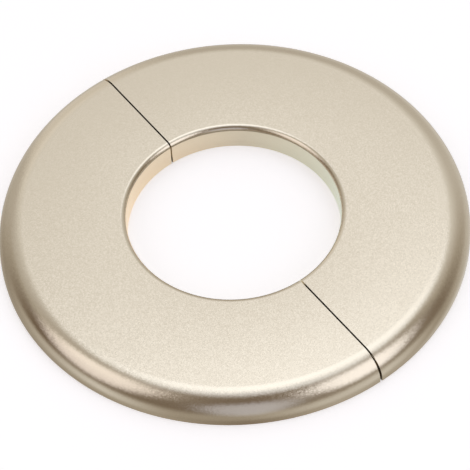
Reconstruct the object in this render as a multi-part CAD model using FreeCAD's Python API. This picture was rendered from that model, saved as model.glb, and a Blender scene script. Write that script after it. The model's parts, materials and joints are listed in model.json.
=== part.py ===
import FreeCAD, Part
import math
import os
from FreeCAD import Vector

# Radiator pipe collar: a low split ring that hides the hole where a radiator pipe leaves a floor or wall.
# It is moulded as two identical halves, hollow underneath, that close around the pipe from both sides.
# Each half has a peg at one end and a socket at the other, so one mould makes both.
# Frame: the pipe runs along Z, the base lies on z = 0, and the halves meet on the plane x = 0.

# Ring sizes in millimetres
outer_diameter = 50.0
pipe_diameter = 22.0
pipe_gap = 0.35          # radial, between the pipe and the bore
height = 3.05
rim_land = 0.35          # upright foot below the rounded rim
bore_edge_radius = 0.6

# Moulding sizes
skin = 1.0               # wall of the hollow ring
end_wall = 1.0           # wall that closes each half at the split
split_gap = 0.16         # between the closed halves
rib_count = 3            # stiffening ribs under each half
rib_thickness = 0.8
rib_lift = 0.4           # ribs stop this far above the base

# Peg and socket sizes
peg_diameter = 1.2
peg_length = 3.0         # beyond the half's own split face
peg_tip = 0.35           # length of the tapered lead-in
peg_tip_diameter = 0.8
peg_clearance = 0.05     # radial, between peg and socket
peg_end_gap = 0.3        # between the peg's tip and the end of its socket
boss_wall = 0.8          # material beside and behind the socket

# Places that follow from the sizes
outer_radius = outer_diameter / 2
bore_radius = pipe_diameter / 2 + pipe_gap
rim_radius = height - rim_land
hollow_inner_radius = bore_radius + skin
hollow_outer_radius = outer_radius - skin
hollow_top = height - skin
hollow_chamfer = (rim_radius - skin) * (2 - math.sqrt(2))  # keeps the skin even behind the rounded rim
split_face = split_gap / 2
joint_radius = (bore_radius + outer_radius) / 2            # pegs and sockets stand midway across the ring
peg_height = hollow_top / 2
socket_diameter = peg_diameter + 2 * peg_clearance
socket_depth = peg_length - split_gap + peg_end_gap
boss_width = socket_diameter + 2 * boss_wall
boss_depth = socket_depth + boss_wall


def section_point(radius, z):
    """Point of a section that is drawn beside the Z axis."""
    return Vector(radius, 0, z)


def rounded_corner(start, corner, end):
    """Quarter circle from start to end, tangent to the two lines that meet at the corner."""
    centre = start + end - corner
    middle = centre + (corner - centre) * math.sqrt(0.5)
    return Part.Arc(start, middle, end).toShape()


def revolved(edges):
    """Solid of revolution about Z from the closed outline of a section."""
    face = Part.Face(Part.Wire(edges))
    return face.revolve(Vector(0, 0, 0), Vector(0, 0, 1), 360)


def full_ring():
    """The whole collar's outside: bore, flat top, rounded rim and base."""
    bore_foot = section_point(bore_radius, 0)
    rim_foot = section_point(outer_radius, 0)
    land_top = section_point(outer_radius, rim_land)
    rim_corner = section_point(outer_radius, height)
    flat_outside = section_point(outer_radius - rim_radius, height)
    flat_inside = section_point(bore_radius + bore_edge_radius, height)
    bore_corner = section_point(bore_radius, height)
    bore_top = section_point(bore_radius, height - bore_edge_radius)
    return revolved([
        Part.makeLine(bore_foot, rim_foot),
        Part.makeLine(rim_foot, land_top),
        rounded_corner(land_top, rim_corner, flat_outside),
        Part.makeLine(flat_outside, flat_inside),
        rounded_corner(flat_inside, bore_corner, bore_top),
        Part.makeLine(bore_top, bore_foot),
    ])


def full_hollow():
    """The space under the whole ring, one skin inside its top, rim and bore."""
    inner_foot = section_point(hollow_inner_radius, 0)
    outer_foot = section_point(hollow_outer_radius, 0)
    chamfer_foot = section_point(hollow_outer_radius, hollow_top - hollow_chamfer)
    roof_outside = section_point(hollow_outer_radius - hollow_chamfer, hollow_top)
    roof_inside = section_point(hollow_inner_radius, hollow_top)
    return revolved([
        Part.makeLine(inner_foot, outer_foot),
        Part.makeLine(outer_foot, chamfer_foot),
        Part.makeLine(chamfer_foot, roof_outside),
        Part.makeLine(roof_outside, roof_inside),
        Part.makeLine(roof_inside, inner_foot),
    ])


def left_of(shape, x):
    """The part of a shape on the left of the plane at x."""
    corner = Vector(x - outer_radius, -outer_radius, 0)
    return shape.common(Part.makeBox(outer_radius, outer_diameter, height, corner))


def rib(angle):
    """Radial stiffening rib at an angle around the ring, hanging from the roof of the hollow."""
    corner = Vector(0, -rib_thickness / 2, rib_lift)
    blade = Part.makeBox(outer_radius, rib_thickness, hollow_top - rib_lift, corner)
    blade.rotate(Vector(0, 0, 0), Vector(0, 0, 1), angle)
    return blade


def boss(y):
    """Block behind the split face of the left half that carries a peg or holds a socket."""
    corner = Vector(-split_face - boss_depth, y - boss_width / 2, 0)
    return Part.makeBox(boss_depth, boss_width, hollow_top, corner)


def peg(y):
    """Peg out of the left half's split face, rooted in its boss, with a tapered tip."""
    along = Vector(1, 0, 0)
    root = Vector(-split_face - end_wall, y, peg_height)
    shank_end = Vector(-split_face + peg_length - peg_tip, y, peg_height)
    shank = Part.makeCylinder(peg_diameter / 2, shank_end.x - root.x, root, along)
    tip = Part.makeCone(peg_diameter / 2, peg_tip_diameter / 2, peg_tip, shank_end, along)
    return shank.fuse(tip)


def socket(y):
    """Hole in the left half's split face for the other half's peg."""
    mouth = Vector(-split_face, y, peg_height)
    return Part.makeCylinder(socket_diameter / 2, socket_depth, mouth, Vector(-1, 0, 0))


def left_half():
    """One moulded half: a hollow half ring with end walls, ribs, a peg and a socket."""
    rib_step = 180 / (rib_count + 1)
    ribs = [rib(90 + rib_step * (i + 1)) for i in range(rib_count)]
    pocket = left_of(full_hollow(), -split_face - end_wall)
    pocket = pocket.cut(ribs + [boss(joint_radius), boss(-joint_radius)])
    half = left_of(full_ring(), -split_face).cut(pocket)
    return half.fuse(peg(joint_radius)).cut(socket(-joint_radius)).removeSplitter()


left = left_half()
right = left.copy()
right.rotate(Vector(0, 0, 0), Vector(0, 0, 1), 180)

os.makedirs("parts", exist_ok=True)
left.exportStep("parts/left_half.step")
right.exportStep("parts/right_half.step")
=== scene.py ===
import json
import math
import bpy
from mathutils import Matrix, Vector


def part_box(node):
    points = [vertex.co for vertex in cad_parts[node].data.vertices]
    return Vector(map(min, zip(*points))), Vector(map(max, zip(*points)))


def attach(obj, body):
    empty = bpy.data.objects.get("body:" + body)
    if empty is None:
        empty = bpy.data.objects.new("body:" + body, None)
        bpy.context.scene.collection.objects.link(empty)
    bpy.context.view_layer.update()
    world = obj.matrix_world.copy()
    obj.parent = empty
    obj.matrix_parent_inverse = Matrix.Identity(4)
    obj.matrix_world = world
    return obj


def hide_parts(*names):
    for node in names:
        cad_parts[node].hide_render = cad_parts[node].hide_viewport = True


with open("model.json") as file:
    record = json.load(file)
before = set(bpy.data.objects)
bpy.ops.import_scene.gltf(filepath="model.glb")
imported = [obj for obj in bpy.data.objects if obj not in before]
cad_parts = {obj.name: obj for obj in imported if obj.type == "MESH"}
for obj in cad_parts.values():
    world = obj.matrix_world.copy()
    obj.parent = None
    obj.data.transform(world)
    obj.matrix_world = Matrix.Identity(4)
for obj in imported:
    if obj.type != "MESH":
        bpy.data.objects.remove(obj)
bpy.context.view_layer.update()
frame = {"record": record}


# Moulded halves
# Each half of the collar is one hollow moulding in plated ABS, open underneath and stiffened by ribs, with
# an end wall at each side of the split. Both halves come out of one mould: the peg at one end of a half
# pushes into the socket at the end of the other, and that holds the two together around the pipe.

# Sizes in millimetres: the finished mesh is brought to the frame's metres
MM = 0.001
left_low, left_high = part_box("left_half")
pipe_bore = next(m for m in frame["record"]["mounts"] if m["name"] == "pipe_bore")
outer_radius = -left_low.x / MM
height = left_high.z / MM
bore_radius = pipe_bore["dims"]["r_mm"]
bore_edge_radius = height - pipe_bore["dims"]["length_mm"]
rim_land = 0.35
skin = 1.0
end_wall = 1.0
split_face = 0.09
seat_face = 0.012
seat_height = 2.5
seat_slope = 0.8
seat_inset = 0.5
rim_opening = 0.04
rib_count = 3
rib_thickness = 0.8
rib_lift = 0.4
peg_diameter = 1.2
peg_length = left_high.x / MM + split_face
peg_tip = 0.35
peg_tip_diameter = 0.8
socket_diameter = 1.3
socket_depth = 3.14
boss_width = 2.9
boss_depth = 3.94
edge_break = 0.035

rim_radius = height - rim_land
hollow_top = height - skin
hollow_chamfer = (rim_radius - skin) * (2 - math.sqrt(2))
seat_lean = math.atan((split_face - seat_face) / seat_slope)
rim_fall = math.atan(rim_opening / rim_radius)
joint_radius = (bore_radius + outer_radius) / 2
joint_height = hollow_top / 2


def node_group(name, kind, inputs, outputs):
    """A new node tree with named sockets, and its group input and output nodes."""
    tree = bpy.data.node_groups.new(name, kind)
    for direction, sockets in (("INPUT", inputs), ("OUTPUT", outputs)):
        for label, socket_type in sockets.items():
            tree.interface.new_socket(label, in_out=direction, socket_type=socket_type)
    return tree, tree.nodes.new("NodeGroupInput"), tree.nodes.new("NodeGroupOutput")


def add_node(tree, kind, inputs, **settings):
    """A node with its settings made and each input set to a value or linked to a socket."""
    made = tree.nodes.new(kind)
    for name, value in settings.items():
        setattr(made, name, value)
    for name, value in inputs.items():
        if isinstance(value, bpy.types.NodeSocket):
            tree.links.new(value, made.inputs[name])
        else:
            made.inputs[name].default_value = value
    return made


def calc(tree, operation, a, b):
    """Socket that holds the result of one sum with two sizes."""
    return add_node(tree, "ShaderNodeMath", {0: a, 1: b}, operation=operation).outputs[0]


def vector_calc(tree, operation, inputs):
    """Socket that holds the result of one sum with places or directions."""
    return add_node(tree, "ShaderNodeVectorMath", inputs, operation=operation).outputs[0]


# Fine pearl of the satin plate: tiny facets that each tilt and shade a little differently, and broad faint
# clouds. The facets lie flatter towards the foot, where the plate is smoother.
GRAIN_SIZES = ("Facet Size", "Facet Tilt", "Smooth Below", "Full Above", "Cloud Size")
GRAIN_OUTPUTS = {"Facets": "NodeSocketFloat", "Clouds": "NodeSocketFloat", "Normal": "NodeSocketVector"}
plate_grain, grain_in, grain_out = node_group(
    "plate_grain", "ShaderNodeTree", dict.fromkeys(GRAIN_SIZES, "NodeSocketFloat"), GRAIN_OUTPUTS)
grain_size = grain_in.outputs
on_plate = add_node(plate_grain, "ShaderNodeTexCoord", {}).outputs["Object"]
per_facet = calc(plate_grain, "DIVIDE", 1.0, grain_size["Facet Size"])
facets = add_node(plate_grain, "ShaderNodeTexVoronoi", {
    "Vector": on_plate, "Scale": per_facet}).outputs["Color"]
facet_value = add_node(plate_grain, "ShaderNodeSeparateXYZ", {"Vector": facets}).outputs["X"]
per_cloud = calc(plate_grain, "DIVIDE", 1.0, grain_size["Cloud Size"])
clouds = add_node(plate_grain, "ShaderNodeTexNoise", {
    "Vector": on_plate, "Scale": per_cloud, "Detail": 3.0, "Roughness": 0.6}).outputs[0]
above_foot = add_node(plate_grain, "ShaderNodeSeparateXYZ", {"Vector": on_plate}).outputs["Z"]
tilt = add_node(plate_grain, "ShaderNodeMapRange", {
    "Value": above_foot, "From Min": grain_size["Smooth Below"], "From Max": grain_size["Full Above"],
    "To Max": grain_size["Facet Tilt"]}).outputs["Result"]
middle_shade = (0.5, 0.5, 0.5)
lean = vector_calc(plate_grain, "SUBTRACT", {0: facets, 1: middle_shade})
lean = vector_calc(plate_grain, "SCALE", {0: lean, "Scale": tilt})
upright = add_node(plate_grain, "ShaderNodeNewGeometry", {}).outputs["Normal"]
leaning = vector_calc(plate_grain, "ADD", {0: upright, 1: lean})
leaning = vector_calc(plate_grain, "NORMALIZE", {0: leaning})
plate_grain.links.new(facet_value, grain_out.inputs["Facets"])
plate_grain.links.new(clouds, grain_out.inputs["Clouds"])
plate_grain.links.new(leaning, grain_out.inputs["Normal"])


def nickel_plate(name, pale, deep, smooth, rough, grain_sizes):
    """Satin nickel plate whose colour varies by facet and its gloss by cloud, each between two values."""
    material = bpy.data.materials.new(name)
    material.use_nodes = True
    tree = material.node_tree
    shader = tree.nodes["Principled BSDF"]
    shader.inputs["Metallic"].default_value = 1.0
    grain = add_node(tree, "ShaderNodeGroup", grain_sizes, node_tree=plate_grain)
    colour = add_node(tree, "ShaderNodeValToRGB", {"Fac": grain.outputs["Facets"]})
    colour.color_ramp.elements[0].color = (*deep, 1.0)
    colour.color_ramp.elements[1].color = (*pale, 1.0)
    gloss = add_node(tree, "ShaderNodeMapRange", {
        "Value": grain.outputs["Clouds"], "From Min": 0.3, "From Max": 0.7,
        "To Min": smooth, "To Max": rough})
    tree.links.new(colour.outputs["Color"], shader.inputs["Base Color"])
    tree.links.new(gloss.outputs["Result"], shader.inputs["Roughness"])
    tree.links.new(grain.outputs["Normal"], shader.inputs["Normal"])
    return material


show_plate = nickel_plate(
    "satin_nickel_show_face", pale=(0.85, 0.775, 0.65), deep=(0.83, 0.755, 0.63), smooth=0.19, rough=0.21,
    grain_sizes={"Facet Size": 0.09 * MM, "Facet Tilt": 0.06, "Cloud Size": 6.0 * MM,
                 "Smooth Below": -1.0 * MM, "Full Above": 2.4 * MM})
hidden_plate = nickel_plate(
    "satin_nickel_underside", pale=(0.80, 0.73, 0.61), deep=(0.68, 0.62, 0.52), smooth=0.38, rough=0.48,
    grain_sizes={"Facet Size": 0.20 * MM, "Facet Tilt": 0.15, "Cloud Size": 4.0 * MM,
                 "Smooth Below": -1.0 * MM, "Full Above": 0.0 * MM})


def minus(tree, size):
    """Socket that holds a size on the other side of zero."""
    return calc(tree, "MULTIPLY", size, -1.0)


def half_of(tree, size):
    """Socket that holds half of a size."""
    return calc(tree, "MULTIPLY", size, 0.5)


def point(tree, x, y, z):
    """Socket that holds a place made of three sizes."""
    return add_node(tree, "ShaderNodeCombineXYZ", {"X": x, "Y": y, "Z": z}).outputs[0]


def turn(tree, x, y, z):
    """Socket that holds a turn made of the angles about three axes."""
    return add_node(tree, "FunctionNodeEulerToRotation", {"Euler": point(tree, x, y, z)}).outputs[0]


def moved(tree, shape, place, turned_by=(0.0, 0.0, 0.0)):
    """Shape that is turned about the origin and then moved to its place."""
    return add_node(tree, "GeometryNodeTransform", {
        "Geometry": shape, "Translation": place, "Rotation": turned_by}).outputs["Geometry"]


def block(tree, low, high):
    """Box between its lowest and highest corners."""
    size = vector_calc(tree, "SUBTRACT", {0: high, 1: low})
    both = vector_calc(tree, "ADD", {0: high, 1: low})
    centre = vector_calc(tree, "SCALE", {0: both, "Scale": 0.5})
    cube = add_node(tree, "GeometryNodeMeshCube", {"Size": size}).outputs["Mesh"]
    return moved(tree, cube, centre)


pin_sides = 48


def pin(tree, start, length, start_radius, end_radius):
    """Round pin or hole along X, which may taper."""
    cone = add_node(tree, "GeometryNodeMeshCone", {
        "Vertices": pin_sides, "Radius Bottom": start_radius, "Radius Top": end_radius,
        "Depth": length}).outputs["Mesh"]
    along_x = (0.0, math.radians(90), 0.0)
    return moved(tree, cone, start, along_x)


def solid(tree, operation, first, *others):
    """Solid made by cutting others from the first, joining them, or keeping what they share."""
    made = add_node(tree, "GeometryNodeMeshBoolean", {}, operation=operation, solver="MANIFOLD")
    tree.links.new(first, made.inputs["Mesh 1" if operation == "DIFFERENCE" else "Mesh 2"])
    for other in others:
        tree.links.new(other, made.inputs["Mesh 2"])
    return made.outputs["Mesh"]


weld_distance = 0.0005


def welded(tree, shape):
    """Shape whose points that lie on each other are joined."""
    return add_node(tree, "GeometryNodeMergeByDistance", {
        "Geometry": shape, "Distance": weld_distance}).outputs["Geometry"]


# A section with two rounded upper corners, turned around the pipe by a little more than half a turn
sweep_start = math.radians(88)
sweep_angle = math.radians(184)
sweep_points = 185
SECTION_SIZES = ("Inner Radius", "Outer Radius", "Foot", "Top", "Inner Corner", "Outer Corner")
section_sockets = {**dict.fromkeys(SECTION_SIZES, "NodeSocketFloat"), "Corner Steps": "NodeSocketInt"}
turned, turned_in, turned_out = node_group(
    "half_turned_section", "GeometryNodeTree", section_sockets, {"Mesh": "NodeSocketGeometry"})
section_size = turned_in.outputs
width = calc(turned, "SUBTRACT", section_size["Outer Radius"], section_size["Inner Radius"])
upright_size = calc(turned, "SUBTRACT", section_size["Top"], section_size["Foot"])
section = add_node(turned, "GeometryNodeCurvePrimitiveQuadrilateral", {
    "Width": width, "Height": upright_size}).outputs["Curve"]
# The sweep hangs the section upside down from the path, so it is drawn below it
middle = half_of(turned, calc(turned, "ADD", section_size["Top"], section_size["Foot"]))
section = moved(turned, section, point(turned, half_of(turned, width), minus(turned, middle), 0.0))
corner_number = add_node(turned, "GeometryNodeInputIndex", {}).outputs[0]
corner_radius = add_node(turned, "GeometryNodeIndexSwitch", {"Index": corner_number}, data_type="FLOAT")
corner_radius.index_switch_items.new()
corner_radius.index_switch_items.new()
turned.links.new(section_size["Inner Corner"], corner_radius.inputs["2"])
turned.links.new(section_size["Outer Corner"], corner_radius.inputs["3"])
section = add_node(turned, "GeometryNodeFilletCurve", {
    "Curve": section, "Radius": corner_radius.outputs[0],
    "Count": section_size["Corner Steps"]}, mode="POLY").outputs["Curve"]
way_round = add_node(turned, "GeometryNodeCurveArc", {
    "Resolution": sweep_points, "Radius": section_size["Inner Radius"],
    "Start Angle": sweep_start, "Sweep Angle": sweep_angle}).outputs["Curve"]
swept = add_node(turned, "GeometryNodeCurveToMesh", {
    "Curve": way_round, "Profile Curve": section, "Fill Caps": True}).outputs["Mesh"]
turned.links.new(welded(turned, swept), turned_out.inputs["Mesh"])

# The whole moulding: outside, end walls with their seats, hollow, ribs, bosses, peg and socket
half_sizes = {
    "Outer Radius": outer_radius, "Bore Radius": bore_radius, "Height": height,
    "Rim Radius": rim_radius, "Bore Edge Radius": bore_edge_radius,
    "Skin": skin, "Hollow Chamfer": hollow_chamfer, "End Wall": end_wall,
    "Split Face": split_face, "Rim Fall": rim_fall,
    "Seat Face": seat_face, "Seat Height": seat_height, "Seat Lean": seat_lean, "Seat Inset": seat_inset,
    "Rib Count": rib_count, "Rib Thickness": rib_thickness, "Rib Lift": rib_lift,
    "Joint Radius": joint_radius, "Joint Height": joint_height,
    "Boss Width": boss_width, "Boss Depth": boss_depth,
    "Peg Diameter": peg_diameter, "Peg Length": peg_length,
    "Peg Tip": peg_tip, "Tip Diameter": peg_tip_diameter,
    "Socket Diameter": socket_diameter, "Socket Depth": socket_depth,
    "Show Finish": show_plate, "Hidden Finish": hidden_plate}
SOCKET_TYPES = {float: "NodeSocketFloat", int: "NodeSocketInt", bpy.types.Material: "NodeSocketMaterial"}
half_sockets = {label: SOCKET_TYPES[type(value)] for label, value in half_sizes.items()}
moulded, half_in, half_out = node_group(
    "moulded_half", "GeometryNodeTree", half_sockets, {"Mesh": "NodeSocketGeometry"})
size = half_in.outputs
beyond = 1.0
far_left = calc(moulded, "MULTIPLY", size["Outer Radius"], -2.0)
far_side = calc(moulded, "MULTIPLY", size["Outer Radius"], 2.0)
split_x = minus(moulded, size["Split Face"])
wall_x = calc(moulded, "SUBTRACT", split_x, size["End Wall"])
roof = calc(moulded, "SUBTRACT", size["Height"], size["Skin"])
hollow_inner = calc(moulded, "ADD", size["Bore Radius"], size["Skin"])
hollow_outer = calc(moulded, "SUBTRACT", size["Outer Radius"], size["Skin"])


def left_of(x, depth):
    """Space to the left of a face across the pipe, from a depth below the foot up."""
    return block(moulded, point(moulded, far_left, far_left, -depth), point(moulded, x, far_side, far_side))


round_steps = 24
outside = add_node(moulded, "GeometryNodeGroup", {
    "Inner Radius": size["Bore Radius"], "Outer Radius": size["Outer Radius"], "Top": size["Height"],
    "Inner Corner": size["Bore Edge Radius"], "Outer Corner": size["Rim Radius"],
    "Corner Steps": round_steps}, node_tree=turned).outputs["Mesh"]
left_side = left_of(split_x, beyond)
# Towards the rim the end walls fall back a little, and the split opens with them
rim_start = calc(moulded, "SUBTRACT", size["Outer Radius"], size["Rim Radius"])
for side, low_y, high_y in ((1.0, 0.0, far_side), (-1.0, far_left, 0.0)):
    fall_back = turn(moulded, 0.0, 0.0, calc(moulded, "MULTIPLY", size["Rim Fall"], side))
    fall_from = point(moulded, split_x, calc(moulded, "MULTIPLY", rim_start, side), 0.0)
    wedge = block(moulded, point(moulded, 0.0, low_y, far_left), point(moulded, beyond, high_y, far_side))
    left_side = solid(moulded, "DIFFERENCE", left_side, moved(moulded, wedge, fall_from, fall_back))
# Each end wall has a raised seat with a sloping top: the split is nearly closed low down and open above
lean_out = turn(moulded, 0.0, minus(moulded, size["Seat Lean"]), 0.0)
seat_top = point(moulded, split_x, 0.0, size["Seat Height"])
up_to_seat = left_of(minus(moulded, size["Seat Face"]), beyond)
seat_inner = calc(moulded, "ADD", size["Bore Radius"], size["Seat Inset"])
seat_ends = [(seat_inner, hollow_outer), (minus(moulded, hollow_outer), minus(moulded, seat_inner))]
for low_y, high_y in seat_ends:
    seat = block(moulded, point(moulded, -beyond, low_y, far_left), point(moulded, 0.0, high_y, 0.0))
    seat = solid(moulded, "INTERSECT", moved(moulded, seat, seat_top, lean_out), up_to_seat)
    left_side = solid(moulded, "UNION", left_side, seat)
shell = solid(moulded, "INTERSECT", outside, left_side)

chamfer_steps = 1
hollow = add_node(moulded, "GeometryNodeGroup", {
    "Inner Radius": hollow_inner, "Outer Radius": hollow_outer, "Foot": -beyond, "Top": roof,
    "Outer Corner": size["Hollow Chamfer"], "Corner Steps": chamfer_steps}, node_tree=turned).outputs["Mesh"]
pocket = solid(moulded, "INTERSECT", hollow, left_of(wall_x, 2 * beyond))

half_rib = half_of(moulded, size["Rib Thickness"])
blade = block(moulded, point(moulded, 0.0, minus(moulded, half_rib), size["Rib Lift"]),
              point(moulded, far_side, half_rib, size["Height"]))
rib_places = add_node(moulded, "GeometryNodeMeshLine", {
    "Count": size["Rib Count"], "Offset": (0.0, 0.0, 0.0)}).outputs["Mesh"]
rib_number = add_node(moulded, "GeometryNodeInputIndex", {}).outputs[0]
rib_step = calc(moulded, "DIVIDE", math.pi, calc(moulded, "ADD", size["Rib Count"], 1.0))
rib_angle = calc(moulded, "MULTIPLY", rib_step, calc(moulded, "ADD", rib_number, 1.0))
rib_turn = turn(moulded, 0.0, 0.0, calc(moulded, "ADD", rib_angle, math.pi / 2))
ribs = add_node(moulded, "GeometryNodeInstanceOnPoints", {
    "Points": rib_places, "Instance": blade, "Rotation": rib_turn}).outputs["Instances"]
ribs = add_node(moulded, "GeometryNodeRealizeInstances", {"Geometry": ribs}).outputs["Geometry"]

boss_back = calc(moulded, "SUBTRACT", split_x, size["Boss Depth"])
half_boss = half_of(moulded, size["Boss Width"])
peg_y = size["Joint Radius"]
socket_y = minus(moulded, size["Joint Radius"])
bosses = [
    block(moulded, point(moulded, boss_back, calc(moulded, "SUBTRACT", y, half_boss), -2 * beyond),
          point(moulded, 0.0, calc(moulded, "ADD", y, half_boss), size["Height"]))
    for y in (peg_y, socket_y)]
pocket = solid(moulded, "DIFFERENCE", pocket, ribs, *bosses)

peg_radius = half_of(moulded, size["Peg Diameter"])
tip_radius = half_of(moulded, size["Tip Diameter"])
peg_end = calc(moulded, "ADD", split_x, size["Peg Length"])
peg_reach = calc(moulded, "SUBTRACT", peg_end, wall_x)
peg_root = point(moulded, wall_x, peg_y, size["Joint Height"])
bar = pin(moulded, peg_root, calc(moulded, "ADD", peg_reach, beyond), peg_radius, peg_radius)
taper = calc(moulded, "DIVIDE", calc(moulded, "SUBTRACT", peg_radius, tip_radius), size["Peg Tip"])
taper_length = calc(moulded, "ADD", peg_reach, beyond)
taper_radius = calc(moulded, "ADD", tip_radius, calc(moulded, "MULTIPLY", taper, taper_length))
taper_start = point(moulded, calc(moulded, "SUBTRACT", wall_x, beyond), peg_y, size["Joint Height"])
lead_in = pin(moulded, taper_start, taper_length, taper_radius, tip_radius)
peg = solid(moulded, "INTERSECT", bar, lead_in)
socket_radius = half_of(moulded, size["Socket Diameter"])
socket_back = calc(moulded, "SUBTRACT", split_x, size["Socket Depth"])
socket_end = point(moulded, socket_back, socket_y, size["Joint Height"])
socket_length = calc(moulded, "ADD", size["Socket Depth"], beyond)
socket_hole = pin(moulded, socket_end, socket_length, socket_radius, socket_radius)

half = solid(moulded, "DIFFERENCE", shell, pocket, socket_hole)
half = solid(moulded, "UNION", half, peg)
half = welded(moulded, half)
half = add_node(moulded, "GeometryNodeSetShadeSmooth", {"Geometry": half}).outputs["Geometry"]
half = add_node(moulded, "GeometryNodeRealizeInstances", {"Geometry": half}).outputs["Geometry"]
# The faces that the hollow leaves behind are the ones that lie on it
on_hollow = 0.002
to_hollow = add_node(moulded, "GeometryNodeProximity", {
    0: pocket}, target_element="FACES").outputs["Distance"]
under = add_node(moulded, "FunctionNodeCompare", {
    "A": to_hollow, "B": on_hollow}, operation="LESS_THAN").outputs[0]
for selection, finish in ((True, "Show Finish"), (under, "Hidden Finish")):
    half = add_node(moulded, "GeometryNodeSetMaterial", {
        "Geometry": half, "Selection": selection, "Material": size[finish]}).outputs["Geometry"]
moulded.links.new(half, half_out.inputs["Mesh"])

blank = bpy.data.objects.new("moulded_half_blank", bpy.data.meshes.new("moulded_half_blank"))
bpy.context.scene.collection.objects.link(blank)
moulding = blank.modifiers.new("moulding", "NODES")
moulding.node_group = moulded
for socket in moulded.interface.items_tree:
    if socket.in_out == "INPUT":
        moulding[socket.identifier] = half_sizes[socket.name]
edges = blank.modifiers.new("broken_edges", "BEVEL")
edges.width = edge_break
edges.segments = 3
edges.limit_method = "ANGLE"
edges.angle_limit = math.radians(35)
edges.harden_normals = True
edges.use_clamp_overlap = True
shapes = bpy.context.evaluated_depsgraph_get()
left_mesh = bpy.data.meshes.new_from_object(
    blank.evaluated_get(shapes), preserve_all_data_layers=True, depsgraph=shapes)
bpy.data.objects.remove(blank)
left_mesh.transform(Matrix.Scale(MM, 4))
right_mesh = left_mesh.copy()
right_mesh.transform(Matrix.Rotation(math.pi, 4, "Z"))
for side, mesh in (("left", left_mesh), ("right", right_mesh)):
    mesh.name = f"{side}_half_moulding"
    piece = bpy.data.objects.new(f"{side}_half_moulding", mesh)
    bpy.context.scene.collection.objects.link(piece)
    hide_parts(f"{side}_half")
    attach(piece, side)


# Studio floor
# A plain white table top that the collar lies on. It is no part of the object. The rim mirrors a darker room
# at its foot, so the white floor stays out of the reflections: they show a grey card under the collar, a
# painted shadow of the floor seen only in reflections, and a glowing ring along the bore wall, a painted pale
# reflection.
view_turn = math.radians(-33.533)
floor_half = 2000.0
floor_drop = 0.02
tuck = 0.1
ring_width = 3.5
circle_sides = 96
floor_white = (0.95, 0.95, 0.98)
painted_shadow_grey = (0.40, 0.36, 0.30)
reflection_peach = (1.0, 0.89, 0.77)
reflection_grey = (0.65, 0.64, 0.60)
reflection_green = (0.77, 0.87, 0.85)
reflection_grey_place = 0.56


def square(reach):
    """Outline of a square sheet."""
    return [(-reach, -reach), (reach, -reach), (reach, reach), (-reach, reach)]


def circle(radius):
    """Outline of a round sheet."""
    angles = [2 * math.pi * k / circle_sides for k in range(circle_sides)]
    return [(radius * math.cos(a), radius * math.sin(a)) for a in angles]


def sheet(name, outline, hole, drop, colour, glow):
    """Matt sheet below the collar, with a hole in it or none."""
    paper = bpy.data.materials.new(f"{name}_paper")
    paper.use_nodes = True
    sockets = paper.node_tree.nodes["Principled BSDF"].inputs
    sockets["Base Color"].default_value = (*colour, 1.0)
    sockets["Roughness"].default_value = 1.0
    sockets["Specular IOR Level"].default_value = 0.0
    sockets["Emission Color"].default_value = (*colour, 1.0)
    sockets["Emission Strength"].default_value = glow
    corners = [(x, y, -drop) for x, y in outline + hole]
    count = len(outline)
    faces = [tuple(range(count))]
    if hole:
        following = [(k + 1) % count for k in range(count)]
        faces = [(k, after, count + after, count + k) for k, after in enumerate(following)]
    mesh = bpy.data.meshes.new(name)
    mesh.from_pydata(corners, [], faces)
    mesh.transform(Matrix.Scale(MM, 4))
    mesh.materials.append(paper)
    laid = bpy.data.objects.new(name, mesh)
    bpy.context.scene.collection.objects.link(laid)
    return laid


floor = sheet("studio_floor", square(floor_half), [], floor_drop, floor_white, glow=0.42)
floor.visible_glossy = False
# Painted shadow: a grey sheet seen only in reflections, which darkens the rim's foot and the split as shaded
# floor would
painted_shadow_card = sheet("painted_shadow_card", circle(outer_radius - tuck), [], floor_drop / 2, painted_shadow_grey, glow=0.0)
# Painted reflection: a glowing ring seen only in reflections, which lights the bore wall
painted_bore_reflection = sheet("painted_bore_reflection", circle(bore_radius + tuck), circle(bore_radius - ring_width), floor_drop / 4,
                  reflection_grey, glow=0.48)
for card in (painted_shadow_card, painted_bore_reflection):
    card.visible_camera = False
    card.visible_shadow = False
    card.visible_diffuse = False

# Painted reflection on the bore wall: the glowing ring is peach on the left of the view and faintly green on
# its right
ring_tree = painted_bore_reflection.data.materials[0].node_tree
on_ring = add_node(ring_tree, "ShaderNodeTexCoord", {}).outputs["Object"]
ring_turned = add_node(ring_tree, "ShaderNodeVectorRotate", {
    "Vector": on_ring, "Angle": -view_turn}, rotation_type="Z_AXIS").outputs["Vector"]
ring_x = add_node(ring_tree, "ShaderNodeSeparateXYZ", {"Vector": ring_turned}).outputs["X"]
ring_across = add_node(ring_tree, "ShaderNodeMapRange", {
    "Value": ring_x, "From Min": -bore_radius * MM, "From Max": bore_radius * MM}).outputs["Result"]
reflection_tint = add_node(ring_tree, "ShaderNodeValToRGB", {"Fac": ring_across})
reflection_tint.color_ramp.elements[0].color = (*reflection_peach, 1.0)
reflection_tint.color_ramp.elements[1].color = (*reflection_green, 1.0)
reflection_tint.color_ramp.elements.new(reflection_grey_place).color = (*reflection_grey, 1.0)
for socket in ("Base Color", "Emission Color"):
    ring_tree.links.new(reflection_tint.outputs["Color"], ring_tree.nodes["Principled BSDF"].inputs[socket])


# Studio light
# Soft boxes stand overhead and at both sides in front, and two weak cards before and behind the collar. The
# room around them is a warm grey, palest at the back and dark at the sides and behind the camera, and the
# rounded rim shows its tones as soft bands.
soft_edge = 0.6
room_dark = (0.08, 0.035, 0.005)
room_grey = (0.40, 0.36, 0.30)
room_pale = (0.755, 0.735, 0.705)
room_grey_level = 0.45


def toward(azimuth, elevation):
    """Direction in the studio: azimuth from the camera's right towards its back, elevation up, in degrees."""
    a = math.radians(azimuth) + view_turn
    e = math.radians(elevation)
    return Vector((math.cos(a) * math.cos(e), math.sin(a) * math.cos(e), math.sin(e)))


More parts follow.
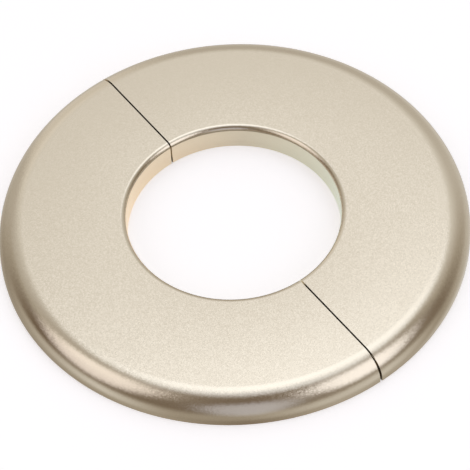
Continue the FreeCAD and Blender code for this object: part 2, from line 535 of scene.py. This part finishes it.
def soft_box(name, azimuth, elevation, wide, tall, radiance, colour):
    """Lamp that faces the collar from a metre away, brightest in the middle and fading to its edges."""
    lamp = bpy.data.lights.new(name, "AREA")
    lamp.shape = "RECTANGLE"
    lamp.size = wide
    lamp.size_y = tall
    lamp.energy = radiance * math.pi * wide * tall
    lamp.color = colour
    lamp.use_nodes = True
    tree = lamp.node_tree
    across = add_node(tree, "ShaderNodeNewGeometry", {}).outputs["Parametric"]
    from_middle = vector_calc(tree, "MULTIPLY_ADD", {0: across, 1: (2.0, 2.0, 0.0), 2: (-1.0, -1.0, 0.0)})
    inward = add_node(tree, "ShaderNodeTexGradient", {
        "Vector": from_middle}, gradient_type="SPHERICAL").outputs["Fac"]
    fade = add_node(tree, "ShaderNodeMapRange", {
        "Value": inward, "From Max": soft_edge}, interpolation_type="SMOOTHSTEP").outputs["Result"]
    tree.links.new(fade, tree.nodes["Emission"].inputs["Strength"])
    holder = bpy.data.objects.new(name, lamp)
    holder.location = toward(azimuth, elevation)
    holder.rotation_euler = (-holder.location).to_track_quat("-Z", "Y").to_euler()
    bpy.context.scene.collection.objects.link(holder)


soft_box("overhead_soft_box", azimuth=57, elevation=79.6, wide=1.28, tall=1.42,
         radiance=0.64, colour=(0.91, 0.99, 1.13))
soft_box("left_soft_box", azimuth=-157.5, elevation=33, wide=1.13, tall=1.55,
         radiance=0.75, colour=(1.03, 1.0, 1.03))
soft_box("right_soft_box", azimuth=-37.5, elevation=33, wide=1.04, tall=1.39,
         radiance=0.97, colour=(0.98, 1.0, 1.08))
soft_box("front_card", azimuth=-89, elevation=14.5, wide=0.90, tall=1.40,
         radiance=0.35, colour=(0.90, 1.0, 1.22))
soft_box("back_card", azimuth=111, elevation=15, wide=0.60, tall=1.50,
         radiance=0.20, colour=(1.0, 0.97, 0.93))

room = bpy.data.worlds.new("studio_room")
room.use_nodes = True
bpy.context.scene.world = room
room_tree = room.node_tree
in_room = add_node(room_tree, "ShaderNodeTexCoord", {}).outputs["Generated"]
from_camera = add_node(room_tree, "ShaderNodeVectorRotate", {
    "Vector": in_room, "Angle": -view_turn}, rotation_type="Z_AXIS").outputs["Vector"]
round_room = add_node(room_tree, "ShaderNodeTexGradient", {
    "Vector": from_camera}, gradient_type="RADIAL").outputs["Fac"]
room_height = add_node(room_tree, "ShaderNodeSeparateXYZ", {"Vector": in_room}).outputs["Z"]


def tones(*levels):
    """Light levels around the room, from its left through the camera's side, the right and the back."""
    ramp = add_node(room_tree, "ShaderNodeValToRGB", {"Fac": round_room})
    ramp.color_ramp.elements.remove(ramp.color_ramp.elements[1])
    for k, level in enumerate((*levels, levels[0])):
        stop = ramp.color_ramp.elements[0] if k == 0 else ramp.color_ramp.elements.new(k / len(levels))
        stop.color = (level, level, level, 1.0)
    return ramp.outputs["Color"]


def raised(lower, upper, low, high):
    """Room whose tones change from lower to upper between two heights of the direction."""
    rise = add_node(room_tree, "ShaderNodeMapRange", {
        "Value": room_height, "From Min": low, "From Max": high}, interpolation_type="SMOOTHSTEP")
    return add_node(room_tree, "ShaderNodeMixRGB", {
        "Fac": rise.outputs["Result"], "Color1": lower, "Color2": upper}).outputs["Color"]


near_table = tones(0.42, 0.45, 0.22, 0.54, 0.50, 0.88, 0.76, 0.42)
table = tones(0.62, 0.92, 0.42, 0.40, 0.75, 0.88, 0.36, 0.70, 0.82, 0.74, 0.68, 0.32)
walls = tones(0.05, 0.16, 0.16, 0.28, 0.16, 0.70, 0.60, 0.60)
ceiling = tones(0.39, 0.25, 0.11, 0.25, 0.34, 0.84, 1.00, 0.70)
room_level = raised(near_table, table, low=-0.8, high=-0.5)
room_level = raised(room_level, walls, low=-0.35, high=0.05)
room_level = raised(room_level, ceiling, low=0.35, high=0.72)
room_colour = add_node(room_tree, "ShaderNodeValToRGB", {"Fac": room_level})
room_colour.color_ramp.elements[0].color = (*room_dark, 1.0)
room_colour.color_ramp.elements[1].color = (*room_pale, 1.0)
room_colour.color_ramp.elements.new(room_grey_level).color = (*room_grey, 1.0)
room_tree.links.new(room_colour.outputs["Color"], room_tree.nodes["Background"].inputs["Color"])


# Camera
# It looks down on the collar as in the photograph, from a quarter of a metre away with a long lens. It is
# rolled a little, and moved a little in its own plane so that the collar fills the picture as it does there.
elevation = math.radians(52.33)
roll = math.radians(-3.763)
distance = 262.37 * MM
sideways = 0.056 * MM
upwards = -0.75 * MM
level_right = Vector((1, 0, 0))
level_up = Vector((0, math.sin(elevation), math.cos(elevation)))
forward = Vector((0, math.cos(elevation), -math.sin(elevation)))
right = level_right * math.cos(roll) + level_up * math.sin(roll)
up = level_up * math.cos(roll) - level_right * math.sin(roll)
stand = Matrix((right, up, -forward)).transposed().to_4x4()
stand.translation = right * sideways + up * upwards - forward * distance
camera_data = bpy.data.cameras.new("camera")
camera_data.lens = 188.95
camera_data.sensor_width = 36.0
camera_data.clip_start = 0.01
camera = bpy.data.objects.new("camera", camera_data)
camera.matrix_world = Matrix.Rotation(view_turn, 4, "Z") @ stand
bpy.context.scene.collection.objects.link(camera)
bpy.context.scene.camera = camera
bpy.context.scene.view_settings.view_transform = "Standard"
